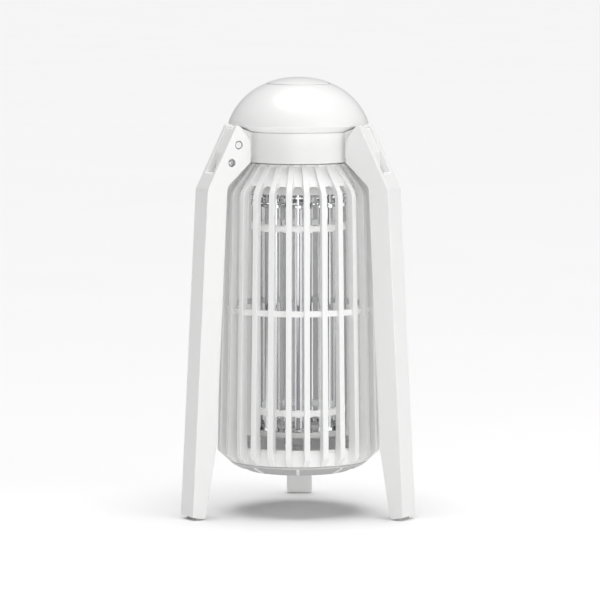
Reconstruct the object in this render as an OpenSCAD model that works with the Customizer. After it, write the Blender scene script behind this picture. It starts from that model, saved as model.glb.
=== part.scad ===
// Electric bug zapper on three legs: a finned cage round a high-voltage rod grid and a tube lamp,
// under a domed head with a push button, over a pull-down collection tray.
// Millimetres, +Z up, floor at z = 0, front towards -Y. The cage's centre line is parallel to Z.

/* [Head] */
// Radius of the dome's rim
dome_r = 44.8; // [44:0.1:46]
// Height of the dome's rim above the floor
dome_rim_z = 248.6; // [248:0.1:249]
// Radius of the curve of the dome's outer face
dome_curve_r = 41; // [40:0.1:42]
// Radius of the top button
button_r = 20.2; // [19.5:0.1:20.6]
// How far the top button travels when pressed
button_travel = 1.5; // [1:0.1:1.5]
// Outer radius of the collar under the dome
collar_r = 36.8; // [36.6:0.1:37]
// Height of the seam between the collar and the cage
seam_z = 224.8; // [224.6:0.1:225]

/* [Cage] */
// Number of fins round the cage, a multiple of three
fin_count = 27; // [21:6:27]
// Thickness of a fin
fin_t = 3.6; // [3:0.1:4]
// Largest radius of the cage, at its lower edge
cage_r = 52; // [51.8:0.1:52.4]
// Height of the cage's lower face
cage_bottom_z = 34; // [33.8:0.1:34.2]
// Height of the top edge of the openings between the fins
window_top_z = 211; // [208:0.5:212]

/* [Grid and lamp] */
// Number of rods in the high-voltage grid, live and return in turn
rod_count = 24; // [18:2:24]
// Radius of the circle of rods
grid_r = 28; // [27.5:0.1:28.5]
// Diameter of a rod
rod_d = 2.2; // [1.8:0.1:2.4]
// Diameter of the lamp's glass tube
lamp_d = 12.7; // [12:0.1:13]

/* [Legs] */
// Width of a leg, across the cage
leg_t = 16.5; // [15:0.5:17]
// Width of the bracket that a leg's head straddles
bracket_t = 9.5; // [8:0.5:10]
// Distance of the leg's hinge pin from the cage's centre line
pivot_r = 47.7; // [47.5:0.1:48]
// Height of the leg's hinge pin
pivot_z = 236.5; // [236:0.1:237]
// Radius at the outer edge of a foot
foot_r = 81.3; // [80:0.1:83]
// Largest outward swing of a leg, in degrees
leg_swing = 10; // [6:1:10]

/* [Tray] */
// Radius of the tray's wall
tray_r = 42.9; // [42:0.1:42.9]
// Height of the tray's underside above the floor
tray_bottom_z = 27; // [26.5:0.1:28]

/* [Hidden] */
$fn = 96;
ARC_STEP = 12;
LEG_AZ = [210, 330, 90];
SIDE_AZ = [30, 150, 270];
axis_y = -(foot_r - cage_r) / 2;
seam_gap = 0.5;
wall = 2;

// Head
collar_top_z = 244.6;
deck_t = 2.2;
deck_top_z = seam_z + deck_t;
bevel_z = collar_top_z - 0.1;
flange_r = 26;
rim_a = 18.4;
dome_centre = [dome_r - dome_curve_r * cos(rim_a), dome_rim_z - dome_curve_r * sin(rim_a)];
button_gap = 0.5;
edge_break = 0.4;
hole_r = button_r + button_gap;
button_edge_z = 274.3;
button_top_z = 278;
well_floor_z = 262;
well_floor_t = 2;
plunger_r = 4;
clip_t = 1;
spring_r = 7;
spring_wire = 0.9;
spring_turns = 5;
button_under_z = 270.6;
skirt_end_z = 264.6;
board_z = 249;
board_t = 1.6;
board_top_z = board_z + board_t;
switch_h = 3.4;
stem_h = 1.3;
plunger_end_z = board_top_z + switch_h + stem_h + button_travel + 0.2;
board_r = 25;
post_circle = 20;
dome_screw_circle = 29.5;
cage_screw_circle = 29.8;
inlet_az = 60;
inlet_z = 234;

// Cage
fin_pitch = 360 / fin_count;
fin_depth = 5;
crown_z = window_top_z - 2.5;
band_in_r = 43.2;
band_out_r = 46;
band_top_z = 44.4;
mid_ring_z = 129.3;
mid_ring_h = 3.8;
mid_ring_in_r = 45.2;
mid_ring_out_r = 48.2;
shoulder = [48.6, 206.6];
shoulder_slope = (shoulder[0] - 33.4) / (seam_z - shoulder[1]);
waist = [51.2, 70];

// Grid and lamp
holder_r = 36;
holder_z = 205.2;
holder_t = 4.6;
hub_r = 15;
rod_end_z = 50.4;
upper_spacer_z = 181.6;
lower_spacer_z = 64;
spacer_h = 3.6;
spacer_w = 4;
live_ring_z = 202.4;
return_ring_z = 198.6;
bus_t = 1;
nut_d = 4.4;
nut_h = 2.4;
socket_r = 10;
cap_r = 7.5;
cap_h = 6;
cap_end_t = 2;
lamp_low_z = 46;
lamp_high_z = 200;
lamp_core_r = 2.3;
glass_t = 0.7;
glass_low_z = lamp_low_z + cap_end_t;
glass_h = lamp_high_z - lamp_low_z - 2 * cap_end_t;
post_low_z = 33.5;
post_r = 6;

// Legs
ear_gap = 0.2;
bracket_reach = 16.8;
bracket_face_r = 57.2;
channel_floor_z = pivot_z - bracket_reach - 0.8;
screw_arm = [5, -11.1];
pin_r = 1.5;
pin_head_r = 2.35;
screw_r = 1.25;
screw_head_r = 2.3;
foot_depth = 9.3;
foot_inner_z = 0.2;
foot_outer_z = 2.2;
pad_h = 3;
pad_l = 5;
pad_w = leg_t - 4;

// Tray
tray_lip_z = 33.6;
tray_wall_top_z = 41;
tray_floor_r = 33;
grip_count = 9;

// Outlines: each corner is [x, y, radius] and becomes an arc that is tangent to both of its sides
function xy(p) = [p[0], p[1]];
function unit(v) = v / norm(v);
function turned(v, a) = [v[0] * cos(a) - v[1] * sin(a), v[0] * sin(a) + v[1] * cos(a)];
function corner(a, b, c, r) =
    let (
        u = unit(a - b),
        v = unit(c - b),
        half = acos(u * v) / 2,
        centre = b + unit(u + v) * r / sin(half),
        start = b + u * r / tan(half) - centre,
        sweep = (180 - 2 * half) * (u[0] * v[1] > u[1] * v[0] ? -1 : 1),
        steps = max(2, ceil(abs(sweep) / ARC_STEP))
    )
    r == 0 ? [b] : [for (i = [0:steps]) centre + turned(start, sweep * i / steps)];
function outline(p) =
    let (n = len(p))
    [for (i = [0:n - 1]) each corner(xy(p[(i + n - 1) % n]), xy(p[i]), xy(p[(i + 1) % n]), p[i][2])];

// Radius of the fins' outer edge on the sloping shoulder
function shoulder_r(z) = shoulder[0] - (z - shoulder[1]) * shoulder_slope;

// Everything stands on the cage's centre line, which lies behind the middle of the footprint
module on_axis() {
    translate([0, axis_y, 0])
    children();
}

module ring(r_in, r_out, z, h) {
    translate([0, 0, z])
    difference() {
        cylinder(r = r_out, h = h);
        translate([0, 0, -1])
        cylinder(r = r_in, h = h + 2);
    }
}

module disc(r, z, h) {
    translate([0, 0, z])
    cylinder(r = r, h = h);
}

module at_azimuths(list, r) {
    for (a = list)
        rotate([0, 0, a])
        translate([r, 0, 0])
        children();
}

module spun(points) {
    rotate_extrude()
    polygon(outline(points));
}

// A slab whose outline lies in a radial plane, as [radius, height], with its middle on that plane
module radial_slab(points, t) {
    rotate([90, 0, 0])
    linear_extrude(height = t, center = true)
    polygon(outline(points));
}

// A round bar across the radial plane, from one distance to another on the side of the pin heads
module cross_bar(at, r, from, to, sides = 48) {
    translate([at[0], from, at[1]])
    rotate([-90, 0, 0])
    cylinder(r = r, h = to - from, $fn = sides);
}

// A pan-head screw with a hexagonal socket, its head's underside at z = 0 and its shank upwards
module screw(r, head_r, head_h, length) {
    difference() {
        union() {
            translate([0, 0, -head_h])
            cylinder(r = head_r, h = head_h);
            translate([0, 0, -0.5])
            cylinder(r = r, h = length + 0.5);
        }
        translate([0, 0, -head_h - 1])
        cylinder(r = head_r * 0.45, h = 1 + head_h * 0.6, $fn = 6);
    }
}

// ---------------------------------------------------------------- head

module dome_cover() {
    inner_curve = dome_curve_r - wall;
    hole_a = acos((hole_r + edge_break - dome_centre[0]) / dome_curve_r);
    hole_edge_z = dome_centre[1] + dome_curve_r * sin(hole_a) - edge_break;
    sleeve_out_r = hole_r + wall;
    inner_a = acos((sleeve_out_r - dome_centre[0]) / inner_curve);
    steps = 14;
    shell = concat(
        [[flange_r, collar_top_z], [collar_r, collar_top_z], [collar_r, bevel_z], [dome_r, dome_rim_z - 0.6]],
        [for (i = [0:steps])
            dome_centre + dome_curve_r * [cos(rim_a + (hole_a - rim_a) * i / steps),
                                          sin(rim_a + (hole_a - rim_a) * i / steps)]],
        [[hole_r, hole_edge_z], [hole_r, well_floor_z], [plunger_r + 0.4, well_floor_z],
         [plunger_r + 0.4, well_floor_z - well_floor_t], [sleeve_out_r, well_floor_z - well_floor_t]],
        [for (i = [0:steps])
            dome_centre + inner_curve * [cos(inner_a + (rim_a - inner_a) * i / steps),
                                         sin(inner_a + (rim_a - inner_a) * i / steps)]],
        [[collar_r - 1, collar_top_z + wall], [flange_r, collar_top_z + wall]]
    );
    color("white")
    on_axis() {
        difference() {
            union() {
                rotate_extrude()
                polygon(shell);
                at_azimuths(SIDE_AZ, dome_screw_circle)
                disc(3, collar_top_z, 8);
            }
            at_azimuths(SIDE_AZ, dome_screw_circle)
            disc(1.25, collar_top_z - 1, 8);
        }
    }
}

module top_button() {
    dip = button_top_z - button_edge_z;
    crown_r = button_r - edge_break;
    curve = (pow(crown_r, 2) + pow(dip, 2)) / (2 * dip);
    half = asin(crown_r / curve);
    steps = 8;
    crown = [for (i = [0:steps])
        [curve * sin(half * (1 - i / steps)), button_top_z - curve + curve * cos(half * (1 - i / steps))]];
    skirt_r = button_r - 1.6;
    color("whitesmoke")
    on_axis()
    difference() {
        rotate_extrude()
        polygon(concat(
            [[0, plunger_end_z], [plunger_r, plunger_end_z], [plunger_r, button_under_z],
             [skirt_r, button_under_z], [skirt_r, skirt_end_z], [button_r, skirt_end_z],
             [button_r, button_edge_z - edge_break]],
            crown
        ));
        ring(plunger_r - 1.05, plunger_r + 1, well_floor_z - well_floor_t - clip_t - 0.1, clip_t + 0.1);
    }
}

module button_clip() {
    color("silver")
    on_axis()
    ring(plunger_r - 1, plunger_r + 3, well_floor_z - well_floor_t - clip_t - 0.05, clip_t);
}

module button_spring() {
    sides = 8;
    per_turn = 16;
    count = spring_turns * per_turn;
    low = well_floor_z + spring_wire / 2 + 0.05;
    high = button_under_z - spring_wire / 2 - 0.05;
    rings = [for (i = [0:count]) [for (j = [0:sides - 1])
        let (a = 360 * i / per_turn, b = 360 * j / sides, r = spring_r + spring_wire / 2 * cos(b))
        [r * cos(a), r * sin(a), low + (high - low) * i / count + spring_wire / 2 * sin(b)]]];
    points = [for (r = rings) each r];
    sides_faces = [for (i = [0:count - 1]) for (j = [0:sides - 1])
        [i * sides + j, (i + 1) * sides + j, (i + 1) * sides + (j + 1) % sides, i * sides + (j + 1) % sides]];
    ends = [[for (j = [0:sides - 1]) j], [for (j = [sides - 1:-1:0]) count * sides + j]];
    color("silver")
    on_axis()
    polyhedron(points = points, faces = concat(sides_faces, ends));
}

module bracket() {
    difference() {
        intersection() {
            radial_slab([
                [collar_r - 1.5, deck_top_z + 1, 0],
                [40.5, deck_top_z + 1, 1],
                [46, pivot_z - bracket_reach, 0],
                [bracket_face_r, pivot_z - bracket_reach, 0],
                [bracket_face_r, 231.8, 1],
                [49.3, 246.6, 1.2],
                [44.5, 247, 2],
                [collar_r - 1.5, collar_top_z - 0.9, 0]
            ], bracket_t);
            union() {
                cross_bar([pivot_r, pivot_z], bracket_reach, -bracket_t, bracket_t, 120);
                translate([20, -bracket_t, 200])
                cube([pivot_r - 20, 2 * bracket_t, 60]);
            }
        }
        cross_bar([pivot_r, pivot_z], pin_r, -bracket_t, bracket_t);
        stop_slot();
    }
}

// The arc that the leg's screw sweeps as the leg swings out
module stop_slot() {
    arm = norm(screw_arm);
    from = atan2(screw_arm[1], screw_arm[0]);
    half_w = screw_r + 0.3;
    way = [for (i = [0:6]) [cos(from + leg_swing * i / 6), sin(from + leg_swing * i / 6)]];
    translate([pivot_r, bracket_t, pivot_z])
    rotate([90, 0, 0])
    linear_extrude(height = 2 * bracket_t) {
        polygon(concat(
            [for (i = [0:6]) (arm - half_w) * way[i]],
            [for (i = [6:-1:0]) (arm + half_w) * way[i]]
        ));
        for (a = [from, from + leg_swing])
            translate(arm * [cos(a), sin(a)])
            circle(r = half_w, $fn = 32);
    }
}

module head_collar() {
    lug_t = 3;
    color("white")
    on_axis()
    difference() {
        union() {
            ring(collar_r - wall, collar_r, seam_z + seam_gap, collar_top_z - seam_z - 2 * seam_gap);
            ring(collar_r - wall, collar_r - 0.6, seam_z + 1, collar_top_z - seam_z - 1);
            disc(collar_r - 1, seam_z, deck_t);
            at_azimuths(LEG_AZ, post_circle)
            disc(3.4, deck_top_z - 1, board_z - deck_top_z + 1);
            at_azimuths(SIDE_AZ, dome_screw_circle)
            disc(5.7, collar_top_z - lug_t, lug_t);
            for (a = LEG_AZ)
                rotate([0, 0, a])
                bracket();
        }
        disc(hub_r - 3, seam_z - 1, deck_t + 2);
        at_azimuths(LEG_AZ, post_circle)
        disc(1.2, deck_top_z + 6, board_z);
        at_azimuths(LEG_AZ, cage_screw_circle)
        disc(1.3, seam_z - 1, deck_t + 2);
        at_azimuths(SIDE_AZ, dome_screw_circle)
        disc(1.7, collar_top_z - lug_t - 1, lug_t + 2);
        at_azimuths(SIDE_AZ, dome_screw_circle)
        disc(3.2, seam_z - 1, deck_t + 2);
        at_azimuths(SIDE_AZ, hub_r + 4)
        disc(1.3, seam_z - 1, deck_t + 2);
        at_azimuths([0, 180], grid_r - 4.5)
        disc(1.2, seam_z - 1, deck_t + 2);
        rotate([0, 0, inlet_az])
        translate([collar_r - 4, -4.6, inlet_z - 5.1])
        cube([8, 9.2, 10.2]);
    }
}

module circuit_board() {
    color("darkgreen")
    on_axis()
    difference() {
        disc(board_r, board_z, board_t);
        at_azimuths(LEG_AZ, post_circle)
        disc(1.4, board_z - 1, board_t + 2);
    }
}

module power_switch() {
    size = 6.2;
    color("dimgray")
    on_axis() {
        translate([-size / 2, -size / 2, board_top_z])
        cube([size, size, switch_h]);
        disc(1.7, board_top_z + switch_h, stem_h);
    }
}

module transformer() {
    color("goldenrod")
    on_axis()
    translate([11, -7, board_top_z]) {
        cube([11, 14, 3]);
        translate([1.5, 2, 3])
        cube([8, 10, 4]);
        translate([0, 0, 7])
        cube([11, 14, 1.4]);
    }
}

module capacitors() {
    color("navy")
    on_axis() {
        for (x = [-20, -13.5])
            translate([x, -4, board_top_z])
            cube([5, 8, 7.5]);
        translate([-3, 14.2, board_top_z + 3.1])
        rotate([0, 90, 0])
        cylinder(r = 3.1, h = 12);
    }
}

module inlet_socket() {
    length = 13;
    color("black")
    on_axis()
    rotate([0, 0, inlet_az])
    difference() {
        translate([collar_r - 0.3 - length, -4.5, inlet_z - 5])
        cube([length, 9, 10]);
        translate([collar_r - 10, 0, inlet_z])
        rotate([0, 90, 0])
        cylinder(r = 3.1, h = 12);
    }
}

module inlet_contact() {
    color("silver")
    on_axis()
    rotate([0, 0, inlet_az])
    translate([collar_r - 10, 0, inlet_z])
    rotate([0, 90, 0])
    cylinder(r = 1, h = 8);
}

module dome_screws() {
    color("silver")
    on_axis()
    at_azimuths(SIDE_AZ, dome_screw_circle)
    translate([0, 0, collar_top_z - 3])
    screw(1.2, 2.7, 2, 9);
}

module board_screws() {
    color("silver")
    on_axis()
    at_azimuths(LEG_AZ, post_circle)
    translate([0, 0, board_top_z])
    mirror([0, 0, 1])
    screw(1.1, 2.4, 1.6, 8);
}

// ---------------------------------------------------------------- cage

module fin() {
    inner_drop = fin_depth * 0.64;
    inner_in = fin_depth * 0.77;
    radial_slab([
        [31.4, seam_z, 0],
        [31.4, seam_z - 4, 0],
        [shoulder[0] - inner_in, shoulder[1] - inner_drop, 8],
        [waist[0] - fin_depth, waist[1], 30],
        [band_out_r - 0.6, band_top_z - 2, 0],
        [band_out_r - 0.6, cage_bottom_z, 0],
        [band_out_r + 0.2, cage_bottom_z, 0],
        [cage_r, cage_bottom_z + 5.5, 2],
        [waist[0], waist[1], 40],
        [shoulder[0], shoulder[1], 9],
        [shoulder_r(seam_z - 1.4), seam_z - 1.4, 0.8],
        [shoulder_r(seam_z - 1.4), seam_z, 0]
    ], fin_t);
}

module all_fins() {
    for (i = [0:fin_count - 1])
        rotate([0, 0, (i + 0.5) * fin_pitch - 90])
        fin();
}

// The closed cone between the fins above the openings
module web() {
    sink = 2.3;
    thick = 2.8;
    top = seam_z - 1.5;
    spun([
        [shoulder_r(top) - sink - thick, top, 0],
        [shoulder_r(window_top_z) - sink - thick, window_top_z, 0],
        [shoulder_r(window_top_z) - sink, window_top_z, 0],
        [shoulder_r(top) - sink, top, 0]
    ]);
}

// The cage's four nodes meet face to face: crown, fins, ring half-way up and lower band
module cage_crown() {
    top_t = 2.6;
    color("white")
    on_axis()
    difference() {
        union() {
            intersection() {
                all_fins();
                disc(foot_r, crown_z, seam_z - crown_z);
            }
            web();
            ring(26.4, 33.8, seam_z - top_t, top_t);
        }
        at_azimuths(LEG_AZ, cage_screw_circle)
        disc(1.6, seam_z - 5, 6);
        at_azimuths(LEG_AZ, cage_screw_circle)
        disc(2.9, crown_z, seam_z - top_t - crown_z);
        at_azimuths(SIDE_AZ, dome_screw_circle)
        disc(3.2, seam_z - 5, 6);
    }
}

module cage_fins() {
    color("white")
    on_axis()
    difference() {
        all_fins();
        disc(foot_r, crown_z, seam_z - crown_z + 1);
        disc(band_out_r, cage_bottom_z - 1, band_top_z - cage_bottom_z + 1);
        ring(mid_ring_in_r, mid_ring_out_r, mid_ring_z, mid_ring_h);
    }
}

module cage_mid_ring() {
    color("white")
    on_axis()
    ring(mid_ring_in_r, mid_ring_out_r, mid_ring_z, mid_ring_h);
}

module cage_band() {
    color("white")
    on_axis()
    spun([
        [band_in_r, cage_bottom_z, 0],
        [band_out_r, cage_bottom_z, 0],
        [band_out_r, band_top_z - 1.8, 0.6],
        [band_out_r - 1.8, band_top_z, 0.3],
        [band_in_r, band_top_z, 0]
    ]);
}

module cage_screws() {
    color("silver")
    on_axis()
    at_azimuths(LEG_AZ, cage_screw_circle)
    translate([0, 0, seam_z - 2.6])
    screw(1.2, 2.7, 1.8, 4.4);
}

// ---------------------------------------------------------------- grid and lamp

ROD_AZ = [for (i = [0:rod_count - 1]) i * 360 / rod_count];
LIVE_AZ = [for (i = [0:2:rod_count - 1]) i * 360 / rod_count];
RETURN_AZ = [for (i = [1:2:rod_count - 1]) i * 360 / rod_count];
bore_r = rod_d / 2 + 0.1;

module upper_grid_holder() {
    color("white")
    on_axis()
    difference() {
        union() {
            disc(holder_r, holder_z, holder_t);
            disc(hub_r, holder_z, seam_z - holder_z);
            for (a = SIDE_AZ)
                rotate([0, 0, a])
                translate([0, -2, holder_z])
                cube([hub_r + 7, 4, seam_z - holder_z]);
        }
        disc(hub_r - 2, holder_z + holder_t, seam_z);
        disc(3, holder_z - 1, holder_t + 2);
        at_azimuths(SIDE_AZ, hub_r + 4)
        disc(1, seam_z - 8, 10);
        at_azimuths([0, 180], grid_r - 4.5)
        disc(1, holder_z - 1, holder_t + 2);
        at_azimuths([200], 11.5)
        disc(1, holder_z - 1, holder_t + 2);
    }
}

module holder_screws() {
    color("silver")
    on_axis()
    at_azimuths(SIDE_AZ, hub_r + 4)
    translate([0, 0, deck_top_z])
    mirror([0, 0, 1])
    screw(0.95, 2.2, 1.6, 8);
}

// A contact ring that holds one set of rods and stands clear of the other
module bus_ring(held, cleared, z) {
    difference() {
        ring(grid_r - 5.5, grid_r + 2.6, z, bus_t);
        at_azimuths(held, grid_r)
        disc(bore_r, z - 1, bus_t + 2);
        at_azimuths(cleared, grid_r)
        disc(bore_r + 1.2, z - 1, bus_t + 2);
    }
}

module live_bus_ring() {
    color("lightsteelblue")
    on_axis()
    difference() {
        bus_ring(LIVE_AZ, RETURN_AZ, live_ring_z);
        at_azimuths([0], grid_r - 4.5)
        disc(1.6, live_ring_z - 1, bus_t + 2);
    }
}

module return_bus_ring() {
    color("lightsteelblue")
    on_axis()
    bus_ring(RETURN_AZ, LIVE_AZ, return_ring_z);
}

module spacer_ring(z) {
    difference() {
        ring(grid_r - spacer_w / 2, grid_r + spacer_w / 2, z, spacer_h);
        at_azimuths(ROD_AZ, grid_r)
        disc(bore_r, z - 1, spacer_h + 2);
    }
}

module upper_spacer_ring() {
    color("white")
    on_axis()
    spacer_ring(upper_spacer_z);
}

module lower_spacer_ring() {
    color("white")
    on_axis()
    spacer_ring(lower_spacer_z);
}

module lower_grid_holder() {
    z = rod_end_z;
    h = 3.4;
    color("white")
    on_axis()
    difference() {
        union() {
            ring(grid_r - 2.8, grid_r + 2.8, z, h);
            disc(socket_r + 3, z, h);
            for (a = SIDE_AZ)
                rotate([0, 0, a])
                translate([socket_r + 2, -2, z])
                cube([grid_r - socket_r - 4, 4, h]);
        }
        disc(cap_r + 0.1, z - 1, h + 2);
        at_azimuths(ROD_AZ, grid_r)
        disc(bore_r, z + 1, h);
    }
}

module rods(list) {
    at_azimuths(list, grid_r)
    disc(rod_d / 2, rod_end_z + 1, holder_z - rod_end_z - 1);
}

module live_rods() {
    color("silver")
    on_axis()
    rods(LIVE_AZ);
}

module return_rods() {
    color("silver")
    on_axis()
    rods(RETURN_AZ);
}

module nuts(z) {
    at_azimuths(ROD_AZ, grid_r)
    difference() {
        translate([0, 0, z])
        cylinder(d = nut_d, h = nut_h, $fn = 6);
        disc(bore_r, z - 1, nut_h + 2);
    }
}

module upper_rod_nuts() {
    color("silver")
    on_axis()
    nuts(return_ring_z - nut_h);
}

module lower_rod_nuts() {
    color("silver")
    on_axis()
    nuts(rod_end_z + 3.4);
}

module lamp_glass() {
    color("lavender", 0.6)
    on_axis()
    ring(lamp_d / 2 - glass_t, lamp_d / 2, glass_low_z, glass_h);
}

module lamp_core() {
    color("white")
    on_axis()
    disc(lamp_core_r, glass_low_z, glass_h);
}

// A cap closed at z = 0 and open upwards round the glass
module lamp_cap() {
    difference() {
        cylinder(r = cap_r, h = cap_h);
        translate([0, 0, cap_end_t])
        cylinder(r = lamp_d / 2 + 0.05, h = cap_h);
    }
}

module upper_lamp_cap() {
    color("silver")
    on_axis()
    translate([0, 0, lamp_high_z])
    mirror([0, 0, 1])
    lamp_cap();
}

module lower_lamp_cap() {
    color("silver")
    on_axis()
    translate([0, 0, lamp_low_z])
    lamp_cap();
}

module upper_lamp_socket() {
    color("dimgray")
    on_axis()
    translate([0, 0, lamp_high_z])
    cylinder(r1 = cap_r, r2 = socket_r, h = holder_z - lamp_high_z);
}

module lower_lamp_socket() {
    end_t = 3;
    color("white")
    on_axis()
    difference() {
        disc(cap_r + 1.6, lamp_low_z - end_t, rod_end_z - lamp_low_z + end_t);
        disc(cap_r + 0.1, lamp_low_z, 10);
    }
}

module centre_post() {
    color("gainsboro")
    on_axis()
    disc(post_r, post_low_z, lamp_low_z - 3 - post_low_z);
}

// Insulated leads from the circuit board to the two bus rings
module lead(a, low_z) {
    at_azimuths([a], grid_r - 4.5)
    disc(0.9, low_z, board_z - low_z);
}

module live_lead() {
    color("red")
    on_axis()
    lead(180, live_ring_z + bus_t);
}

module return_lead() {
    color("black")
    on_axis()
    lead(0, return_ring_z + bus_t);
}

module lamp_lead() {
    color("gainsboro")
    on_axis()
    at_azimuths([200], 11.5)
    disc(0.7, rod_end_z + 3.4, holder_z + 4 - rod_end_z);
}

// ---------------------------------------------------------------- tray

module collection_tray() {
    t = 1.8;
    color("gainsboro")
    on_axis()
    difference() {
        union() {
            spun([
                [0, tray_bottom_z, 0],
                [tray_floor_r, tray_bottom_z, 2],
                [tray_r + 0.5, tray_lip_z - 1.2, 0.4],
                [tray_r + 1.6, tray_lip_z - 1, 0.3],
                [tray_r + 1.6, tray_lip_z, 0.4],
                [tray_r, tray_lip_z, 0],
                [tray_r, tray_wall_top_z, 0.4],
                [tray_r - t, tray_wall_top_z, 0.4],
                [tray_r - t, tray_lip_z + 0.4, 2],
                [tray_floor_r, tray_bottom_z + t, 2],
                [0, tray_bottom_z + t, 0]
            ]);
            for (i = [0:grip_count - 1])
                rotate([0, 0, i * 360 / grip_count - 90])
                radial_slab([
                    [tray_floor_r, tray_bottom_z + 0.5, 0],
                    [tray_floor_r + 3.2, tray_bottom_z + 0.6, 0.6],
                    [tray_r, tray_lip_z - 2.4, 0.6],
                    [tray_r, tray_lip_z - 1.2, 0],
                    [tray_floor_r + 1, tray_bottom_z + 1.4, 0]
                ], 2);
            ring(post_r + 0.8, post_r + 2.2, tray_bottom_z + t - 0.4, 3.4);
        }
    }
}

// ---------------------------------------------------------------- legs

LEG_OUTLINE = [
    [39, 225.3, 0.7],
    [55.7, 210.3, 7],
    [63.9, 47, 30],
    [foot_r - foot_depth, foot_inner_z, 0.6],
    [foot_r, foot_outer_z, 0.6],
    [70, 208.8, 8],
    [49.1, 249.1, 1.2],
    [45.9, 247.7, 0.8],
    [39, 239, 5]
];

module leg() {
    side = leg_t / 2;
    slot_w = bracket_t + 2 * ear_gap;
    screw_at = [pivot_r, pivot_z] + screw_arm;
    difference() {
        radial_slab(LEG_OUTLINE, leg_t);
        translate([30, -slot_w / 2, channel_floor_z])
        cube([50, slot_w, 60]);
        cross_bar([pivot_r, pivot_z], pin_r + 0.05, -side + 1.2, side + 1);
        cross_bar([pivot_r, pivot_z], pin_head_r + 0.4, side - 1.8, side + 1);
        cross_bar(screw_at, screw_r, -side + 1.2, side + 1);
        cross_bar(screw_at, screw_head_r + 0.15, side - 2, side + 1);
        translate([foot_r - foot_depth + 1, -pad_w / 2, pad_h - 5])
        cube([pad_l, pad_w, 5]);
    }
}

module leg_screw() {
    side = leg_t / 2;
    at = [pivot_r, pivot_z] + screw_arm;
    translate([at[0], side - 2, at[1]])
    rotate([90, 0, 0])
    screw(screw_r, screw_head_r, 1.7, leg_t - 3.4);
}

module leg_pin() {
    side = leg_t / 2;
    cross_bar([pivot_r, pivot_z], pin_r, -side + 1.4, side - 1);
    cross_bar([pivot_r, pivot_z], pin_head_r, side - 1.7, side - 0.3);
}

module foot_pad() {
    translate([foot_r - foot_depth + 1, -pad_w / 2, 0])
    cube([pad_l, pad_w, pad_h]);
}

module on_leg(i) {
    on_axis()
    rotate([0, 0, LEG_AZ[i]])
    children();
}

module leg_pins() {
    color("gainsboro")
    for (i = [0:2])
        on_leg(i)
        leg_pin();
}

module leg_left() {
    color("white")
    on_leg(0)
    leg();
}

module leg_right() {
    color("white")
    on_leg(1)
    leg();
}

module leg_back() {
    color("white")
    on_leg(2)
    leg();
}

module leg_screw_left() {
    color("silver")
    on_leg(0)
    leg_screw();
}

module leg_screw_right() {
    color("silver")
    on_leg(1)
    leg_screw();
}

module leg_screw_back() {
    color("silver")
    on_leg(2)
    leg_screw();
}

module foot_pad_left() {
    color("gainsboro")
    on_leg(0)
    foot_pad();
}

module foot_pad_right() {
    color("gainsboro")
    on_leg(1)
    foot_pad();
}

module foot_pad_back() {
    color("gainsboro")
    on_leg(2)
    foot_pad();
}

dome_cover();
top_button();
button_clip();
button_spring();
head_collar();
circuit_board();
power_switch();
transformer();
capacitors();
inlet_socket();
inlet_contact();
dome_screws();
board_screws();
cage_crown();
cage_fins();
cage_mid_ring();
cage_band();
cage_screws();
upper_grid_holder();
holder_screws();
live_bus_ring();
return_bus_ring();
upper_spacer_ring();
lower_spacer_ring();
lower_grid_holder();
live_rods();
return_rods();
upper_rod_nuts();
lower_rod_nuts();
lamp_glass();
lamp_core();
upper_lamp_cap();
lower_lamp_cap();
upper_lamp_socket();
lower_lamp_socket();
centre_post();
live_lead();
return_lead();
lamp_lead();
collection_tray();
leg_pins();
leg_left();
leg_right();
leg_back();
leg_screw_left();
leg_screw_right();
leg_screw_back();
foot_pad_left();
foot_pad_right();
foot_pad_back();
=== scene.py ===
"""Electric bug zapper on three legs: the looks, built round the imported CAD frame.

Lengths are millimetres from the cage's centre line and the floor. Meshes turn them into metres
when they are made.
"""
import bmesh
import bpy
import math
from mathutils import Matrix, Vector


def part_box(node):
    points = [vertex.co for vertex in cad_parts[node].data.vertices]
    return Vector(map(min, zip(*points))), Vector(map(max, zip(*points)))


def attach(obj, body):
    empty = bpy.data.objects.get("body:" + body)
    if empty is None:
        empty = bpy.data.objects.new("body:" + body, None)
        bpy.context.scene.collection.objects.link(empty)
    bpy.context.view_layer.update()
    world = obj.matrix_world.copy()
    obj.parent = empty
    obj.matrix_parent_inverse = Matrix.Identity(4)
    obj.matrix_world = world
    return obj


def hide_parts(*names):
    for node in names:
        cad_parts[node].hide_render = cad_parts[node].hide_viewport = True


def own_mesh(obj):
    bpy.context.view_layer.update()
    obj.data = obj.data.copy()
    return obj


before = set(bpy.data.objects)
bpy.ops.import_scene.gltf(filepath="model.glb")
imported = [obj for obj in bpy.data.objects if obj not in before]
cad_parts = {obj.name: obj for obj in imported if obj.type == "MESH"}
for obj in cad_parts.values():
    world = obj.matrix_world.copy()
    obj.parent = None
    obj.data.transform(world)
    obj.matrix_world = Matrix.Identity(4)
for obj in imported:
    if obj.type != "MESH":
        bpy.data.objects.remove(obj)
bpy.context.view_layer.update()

MM = 0.001


def node_box(name):
    """A CAD node's lowest and highest corner in millimetres, from the cage's centre line."""
    low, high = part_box(name)
    shift = Vector((0, AXIS_Y, 0))
    return (low - shift) / MM, (high - shift) / MM


lamp_low, lamp_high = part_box("lamp_glass")
AXIS_Y = (lamp_low.y + lamp_high.y) / 2

# ------------------------------------------------------------ sizes, from the frame
dome_low, dome_high = node_box("dome_cover")
button_high = node_box("top_button")[1]
crown_low, crown_high = node_box("cage_crown")
mid_low, mid_high = node_box("cage_mid_ring")
tray_low, tray_high = node_box("collection_tray")
leg_low, leg_high = node_box("leg_back")

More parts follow.
